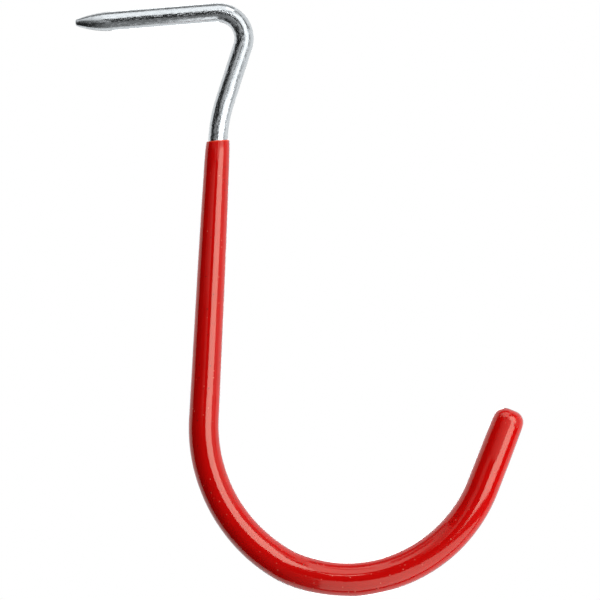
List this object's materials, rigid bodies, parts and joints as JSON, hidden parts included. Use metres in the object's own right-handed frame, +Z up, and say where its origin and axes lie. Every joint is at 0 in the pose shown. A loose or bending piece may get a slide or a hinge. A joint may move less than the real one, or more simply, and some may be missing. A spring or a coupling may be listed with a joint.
{
  "type": "garage utility hook",
  "caption": "J-shaped drive-in garage hook: a bent steel rod with a pointed spike, its shank and bowl dipped in glossy red vinyl.",
  "frame": {"origin": "on the spike's axis, where the wall's face crosses it", "axes": "+X out of the wall, +Z up, Y across the hook; the spike points along -X and the hook lies in the XZ plane"},
  "size_m": [0.1371, 0.0114, 0.1991],
  "materials": {
    "zinc_plated_steel": "bright zinc plating over drawn rod, with fine draw lines",
    "red_vinyl": "glossy dipped vinyl with small specks and a slight waviness"
  },
  "bodies": {
    "root": {"steel_rod": "zinc_plated_steel", "vinyl_coating": "red_vinyl"}
  },
  "joints": []
}
